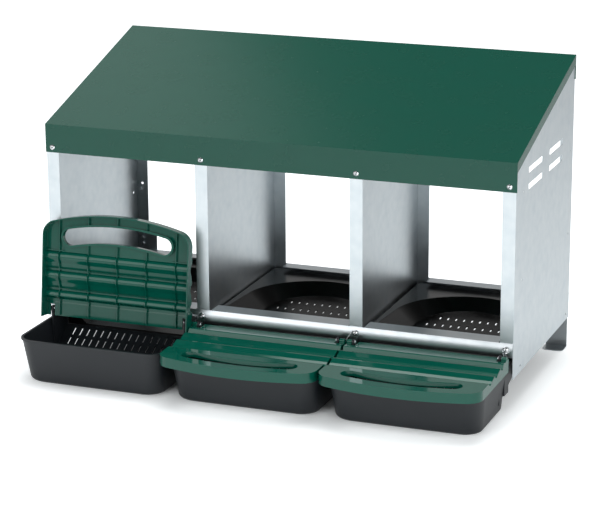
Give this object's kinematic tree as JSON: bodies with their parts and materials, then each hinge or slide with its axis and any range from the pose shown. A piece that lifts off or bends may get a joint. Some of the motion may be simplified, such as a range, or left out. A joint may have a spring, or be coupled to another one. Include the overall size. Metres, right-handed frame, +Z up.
{
  "type": "roll out nest box",
  "caption": "Sheet-metal poultry nest box with a sloping roof, open bays with bowl trays, and egg trays in front under hinged lids.",
  "frame": {"origin": "on the floor, under the middle of the object's bounding box", "axes": "+Z up, the nest entrances and egg trays face -Y, +X to the right seen from the front"},
  "size_m": [0.928, 0.6212, 0.5843],
  "materials": {
    "galvanised": "bright galvanised sheet, satin",
    "roof_green": "dark green powder coat, semi gloss",
    "lid_green": "glossy moulded polypropylene",
    "tray_charcoal": "fine matt moulded polypropylene",
    "nest_black": "satin moulded polypropylene",
    "zinc": "bright zinc plate"
  },
  "bodies": {
    "cabinet": {"left_side_panel": "galvanised", "right_side_panel": "galvanised", "left_divider": "galvanised", "right_divider": "galvanised", "roof": "roof_green", "front_sill": "galvanised", "rear_sill": "galvanised", "left_rear_leg": "galvanised", "right_rear_leg": "galvanised", "left_nest_tray": "nest_black", "middle_nest_tray": "nest_black", "right_nest_tray": "nest_black", "left_egg_tray": "tray_charcoal", "middle_egg_tray": "tray_charcoal", "right_egg_tray": "tray_charcoal", "left_hinge_pins": "zinc", "middle_hinge_pins": "zinc", "right_hinge_pins": "zinc", "fascia_screws": "zinc", "fascia_nuts": "zinc", "sill_screws": "zinc", "sill_nuts": "zinc", "rear_sill_screws": "zinc", "rear_sill_nuts": "zinc", "roof_rear_screws": "zinc", "roof_rear_nuts": "zinc", "leg_screws": "zinc", "leg_nuts": "zinc", "tray_clips": "zinc"},
    "left_lid": {"left_egg_lid": "lid_green"},
    "middle_lid": {"middle_egg_lid": "lid_green"},
    "right_lid": {"right_egg_lid": "lid_green"}
  },
  "joints": [
    {"name": "left_lid_hinge", "type": "hinge", "parent": "cabinet", "child": "left_lid", "pos_m": [-0.309, -0.1176, 0.108], "axis": [-1, 0, 0], "range_deg": [-97, 0]},
    {"name": "middle_lid_hinge", "type": "hinge", "parent": "cabinet", "child": "middle_lid", "pos_m": [-0.003, -0.1176, 0.108], "axis": [-1, 0, 0], "range_deg": [0, 97]},
    {"name": "right_lid_hinge", "type": "hinge", "parent": "cabinet", "child": "right_lid", "pos_m": [0.306, -0.1176, 0.108], "axis": [-1, 0, 0], "range_deg": [0, 97]}
  ]
}
